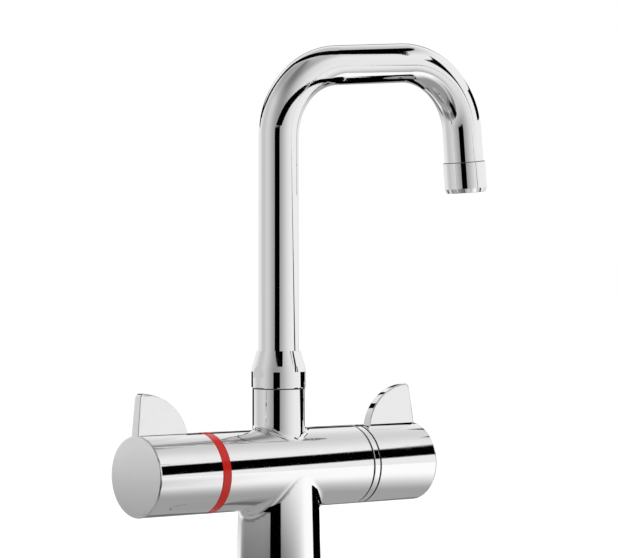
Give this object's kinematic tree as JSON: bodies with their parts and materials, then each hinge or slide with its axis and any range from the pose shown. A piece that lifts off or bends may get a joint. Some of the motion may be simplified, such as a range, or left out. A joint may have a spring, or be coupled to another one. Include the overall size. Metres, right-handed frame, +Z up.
{
  "type": "thermostatic mixer tap",
  "caption": "Deck-mounted thermostatic kitchen mixer: round pedestal, barrel with finned temperature and flow handles, and a swivelling tube spout with an aerator.",
  "frame": {"origin": "centre of the round seat under the pedestal, on the deck", "axes": "+Z up along the pedestal and riser, barrel along X with the temperature handle at -X, user at -Y"},
  "size_m": [0.2377, 0.0497, 0.392],
  "materials": {
    "chrome": "polished",
    "red_plastic": "gloss",
    "brass": "turned",
    "cartridge_plastic": "matt",
    "slip_plastic": "matt",
    "ceramic": "lapped",
    "rubber": "matt",
    "steel": "drawn"
  },
  "bodies": {
    "mixer": {"mixer_body": "chrome", "temperature_ring": "red_plastic", "flow_ring": "chrome", "temperature_retaining_nut": "brass", "flow_retaining_nut": "brass", "cartridge_housing": "cartridge_plastic", "cartridge_o_rings": "rubber", "cartridge_head": "brass", "return_spring": "steel", "headwork_body": "brass", "headwork_nose": "brass", "headwork_seal": "rubber", "fixed_ceramic_disc": "ceramic", "spout_nut": "chrome", "spout_slip_ring": "slip_plastic", "hot_check_housing": "cartridge_plastic", "cold_check_housing": "cartridge_plastic", "hot_check_spring": "steel", "cold_check_spring": "steel", "hot_inlet_filter": "steel", "cold_inlet_filter": "steel", "base_seal": "rubber", "fixing_studs": "steel"},
    "spout": {"spout_tube": "chrome", "spout_tail": "brass", "spout_o_rings": "rubber", "outlet_fitting": "brass", "aerator_housing": "chrome", "aerator_insert": "cartridge_plastic", "aerator_seal": "rubber"},
    "temperature_control": {"temperature_handle": "chrome", "temperature_handle_grub_screw": "steel", "temperature_spindle": "brass", "temperature_spindle_o_ring": "rubber", "hot_stop_ring": "cartridge_plastic"},
    "thermostat": {"thermostat_shuttle": "cartridge_plastic", "wax_element": "brass", "overload_plunger": "brass", "overload_spring": "steel", "regulating_nut": "brass"},
    "flow_control": {"flow_handle": "chrome", "flow_handle_grub_screw": "steel", "flow_spindle": "brass", "flow_spindle_o_ring": "rubber", "moving_ceramic_disc": "ceramic"},
    "hot_check_valve": {"hot_check_poppet": "cartridge_plastic"},
    "cold_check_valve": {"cold_check_poppet": "cartridge_plastic"},
    "deck_clamp": {"clamp_rubber": "rubber", "clamp_plate": "steel", "fixing_nuts": "steel"}
  },
  "joints": [
    {"name": "spout_swivel", "type": "hinge", "parent": "mixer", "child": "spout", "pos_m": [0, 0, 0.095], "axis": [0, 0, 1], "continuous": true},
    {"name": "temperature_handle_turn", "type": "hinge", "parent": "mixer", "child": "temperature_control", "pos_m": [-0.06, 0, 0.095], "axis": [1, 0, 0], "range_deg": [-90, 90]},
    {"name": "flow_handle_turn", "type": "hinge", "parent": "mixer", "child": "flow_control", "pos_m": [0.06, 0, 0.095], "axis": [1, 0, 0], "range_deg": [0, 90]},
    {"name": "thermostat_slide", "type": "slide", "parent": "mixer", "child": "thermostat", "axis": [-1, 0, 0], "range_m": [-0.001, 0.001], "deforming": ["return_spring"]},
    {"name": "hot_check_valve_lift", "type": "slide", "parent": "mixer", "child": "hot_check_valve", "axis": [0, 0, 1], "range_m": [0, 0.002], "stiffness_N_per_m": 60, "springref_m": -0.002, "deforming": ["hot_check_spring"]},
    {"name": "cold_check_valve_lift", "type": "slide", "parent": "mixer", "child": "cold_check_valve", "axis": [0, 0, 1], "range_m": [0, 0.002], "stiffness_N_per_m": 60, "springref_m": -0.002, "deforming": ["cold_check_spring"]},
    {"name": "deck_clamp_slide", "type": "slide", "parent": "mixer", "child": "deck_clamp", "axis": [0, 0, 1], "range_m": [-0.015, 0.029]}
  ],
  "couplings": [
    {"joint": "thermostat_slide", "follows": "temperature_handle_turn", "m_per_rad": 0.0006366}
  ]
}
